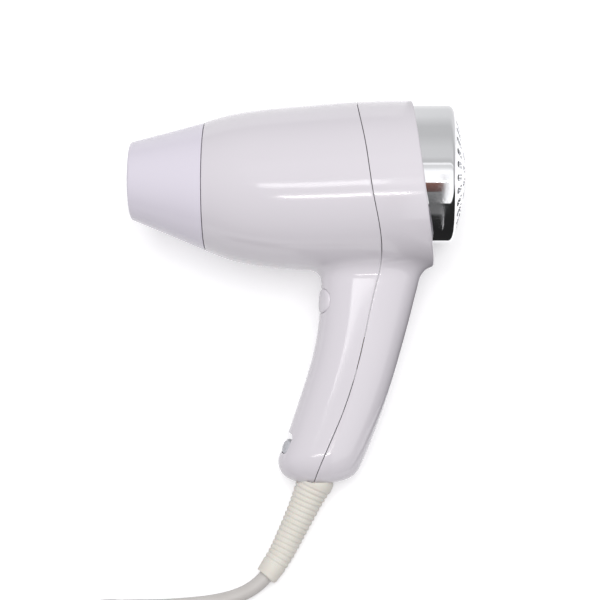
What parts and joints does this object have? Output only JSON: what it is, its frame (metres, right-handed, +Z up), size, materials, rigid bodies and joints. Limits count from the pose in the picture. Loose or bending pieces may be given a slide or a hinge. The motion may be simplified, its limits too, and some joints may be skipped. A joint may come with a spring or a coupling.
{
  "type": "hair dryer",
  "caption": "Corded hair dryer lying on its side: pistol-grip body, cone nozzle, plated slotted inlet cap, push trigger, slide selector, ribbed strain relief, coiled mains lead and plug.",
  "frame": {"origin": "on the table under the middle of the handset's box, measured without the free lead, its coil and its plug", "axes": "+Z up from the table; the barrel runs along X with the nozzle towards -X and the inlet towards +X; the handle points towards -Y"},
  "size_m": [0.2292, 0.3747, 0.0834],
  "materials": {
    "body_plastic": "gloss moulded plastic, very pale lavender white",
    "nozzle_plastic": "gloss moulded plastic, slightly bluer white",
    "plated_cap": "bright plated plastic",
    "selector_plastic": "satin blue-grey plastic",
    "relief_rubber": "soft cream vinyl",
    "lead_vinyl": "satin light grey vinyl",
    "mica": "mica sheet",
    "heater_wire": "oxidised resistance wire",
    "steel": "zinc plated steel",
    "brass": "nickel-free brass",
    "black_plastic": "heat-resisting black plastic",
    "circuit_board": "solder-masked board",
    "red_insulation": "silicone insulation",
    "blue_insulation": "silicone insulation",
    "rubber": "soft rubber"
  },
  "bodies": {
    "housing": {"front_housing": "body_plastic", "rear_housing": "body_plastic", "nozzle": "nozzle_plastic", "outlet_grille": "black_plastic", "inlet_cap": "plated_cap", "inlet_filter": "black_plastic", "fan_duct": "black_plastic", "motor_mount_ring": "rubber", "motor_can": "steel", "motor_end_cap": "black_plastic", "rectifier_board": "circuit_board", "diode_1": "black_plastic", "diode_2": "black_plastic", "diode_3": "black_plastic", "diode_4": "black_plastic", "mica_tube": "mica", "mica_board_a": "mica", "mica_board_b": "mica", "heating_coil_1": "heater_wire", "heating_coil_2": "heater_wire", "heating_coil_3": "heater_wire", "heating_coil_4": "heater_wire", "thermostat": "steel", "thermal_fuse": "brass", "trigger_spring": "steel", "micro_switch": "black_plastic", "slide_switch": "black_plastic", "handle_screw": "steel", "cord_clamp": "relief_rubber", "clamp_screw_1": "steel", "clamp_screw_2": "steel", "terminal_block": "relief_rubber", "suppression_capacitor": "brass", "cord_inner": "lead_vinyl", "lead_live": "red_insulation", "lead_neutral": "blue_insulation", "lead_heater": "red_insulation", "strain_relief": "relief_rubber", "mains_lead": "lead_vinyl", "lead_coil": "lead_vinyl", "lead_tail": "lead_vinyl", "plug_body": "lead_vinyl", "plug_pin_1": "brass", "plug_pin_2": "brass", "coil_tie": "black_plastic"},
    "rotor": {"motor_shaft": "steel", "armature": "steel", "impeller": "black_plastic"},
    "trigger": {"trigger_button": "body_plastic"},
    "selector": {"selector_knob": "selector_plastic"}
  },
  "joints": [
    {"name": "trigger_press", "type": "slide", "parent": "housing", "child": "trigger", "axis": [1, 0, 0], "range_m": [0, 0.0022], "stiffness_N_per_m": 300, "springref_m": -0.002, "deforming": ["trigger_spring"]},
    {"name": "selector_slide", "type": "slide", "parent": "housing", "child": "selector", "axis": [0.3355, 0.9238, 0.1846], "range_m": [0, 0.0033]},
    {"name": "rotor_spin", "type": "hinge", "parent": "housing", "child": "rotor", "pos_m": [0.0456, 0.07885, 0.04232], "axis": [1, 0, 0], "continuous": true}
  ]
}
